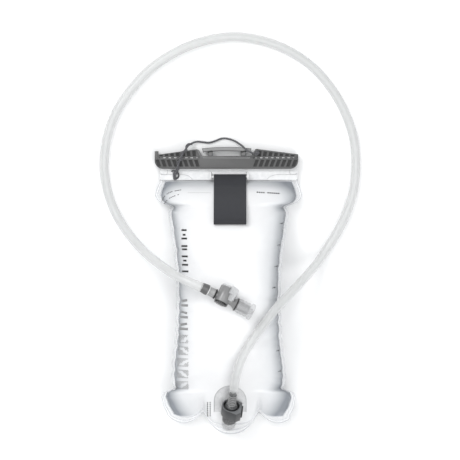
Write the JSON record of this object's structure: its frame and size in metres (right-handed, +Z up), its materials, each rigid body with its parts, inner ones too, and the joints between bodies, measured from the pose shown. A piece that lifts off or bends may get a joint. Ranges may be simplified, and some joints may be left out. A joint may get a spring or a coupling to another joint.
{
  "type": "hydration bladder",
  "caption": "Filled clear film water bladder with slide closure, hanger bar, quick-release hose port, drinking hose and bite valve.",
  "frame": {"origin": "on the table under the middle of the filled bag, which lies on its back; the hose, valve and leash are left out of the middle", "axes": "+X across the bag to the right, +Y along the bag towards the slide closure, +Z up through its thickness"},
  "size_m": [0.2824, 0.4342, 0.0983],
  "materials": {
    "clear_film": "clear film, satin",
    "clear_plastic": "clear moulded",
    "hose": "frosted clear tube",
    "silicone": "clear silicone",
    "slider_grey": "moulded, satin",
    "hanger_grey": "moulded, satin",
    "port_grey": "moulded, satin",
    "valve_grey": "moulded, glossy",
    "button_black": "moulded",
    "rubber_black": "O-ring",
    "spring_steel": "drawn wire",
    "webbing": "woven, coated",
    "cord": "braided cord"
  },
  "bodies": {
    "bladder": {"front_film": "clear_film", "back_film": "clear_film", "header_front": "clear_plastic", "header_back": "clear_plastic", "mouth_rail_front": "clear_plastic", "mouth_rail_back": "clear_plastic", "strap_bail": "clear_plastic", "leash": "cord", "leash_loop": "cord", "leash_knot_header": "cord", "port_patch": "clear_film", "port_body": "port_grey", "port_stub": "hanger_grey", "port_sleeve": "clear_film", "poppet_spring": "spring_steel", "drink_tube": "hose", "valve_barb": "valve_grey", "valve_collar": "port_grey"},
    "slider": {"slider_bar": "slider_grey", "hanger_arch": "hanger_grey", "leash_knot_slider": "cord"},
    "strap": {"pull_strap": "webbing"},
    "button": {"release_button": "button_black"},
    "plug": {"hose_plug": "port_grey", "plug_oring": "rubber_black"},
    "poppet": {"port_poppet": "hanger_grey"},
    "valve": {"valve_body": "valve_grey", "valve_oring": "rubber_black"},
    "shutoff": {"shutoff_cock": "hanger_grey", "shutoff_lever": "silicone", "cock_cap": "button_black"},
    "sheath": {"bite_sheath": "silicone"}
  },
  "joints": [
    {"name": "closure_slide", "type": "slide", "parent": "bladder", "child": "slider", "axis": [-1, 0, 0], "range_m": [0, 0.15], "deforming": ["leash"]},
    {"name": "strap_lift", "type": "hinge", "parent": "bladder", "child": "strap", "pos_m": [0, 0.1219, 0.0116], "axis": [-1, 0, 0], "range_deg": [0, 110]},
    {"name": "button_press", "type": "slide", "parent": "bladder", "child": "button", "axis": [-0.9903, 0.1392, 0], "range_m": [0, 0.0012], "stiffness_N_per_m": 900},
    {"name": "plug_pull", "type": "slide", "parent": "bladder", "child": "plug", "axis": [0.1034, 0.7359, 0.6691], "range_m": [0, 0.016], "deforming": ["drink_tube"]},
    {"name": "poppet_close", "type": "slide", "parent": "bladder", "child": "poppet", "axis": [0.1034, 0.7359, 0.6691], "range_m": [0, 0.003], "deforming": ["poppet_spring"]},
    {"name": "valve_swivel", "type": "hinge", "parent": "bladder", "child": "valve", "pos_m": [-0.0282, 0.0043, 0.0912], "axis": [0.8885, -0.4469, -0.1045], "range_deg": [0, 40]},
    {"name": "shutoff_turn", "type": "hinge", "parent": "valve", "child": "shutoff", "pos_m": [-0.00581, -0.00696, 0.08857], "axis": [-0.4098, -0.8751, 0.2574], "range_deg": [0, 88]},
    {"name": "sheath_pull", "type": "slide", "parent": "valve", "child": "sheath", "axis": [0.8885, -0.4469, -0.1045], "range_m": [0, 0.012]}
  ],
  "couplings": [
    {"joint": "poppet_close", "follows": "plug_pull", "ratio": 0.1875}
  ]
}
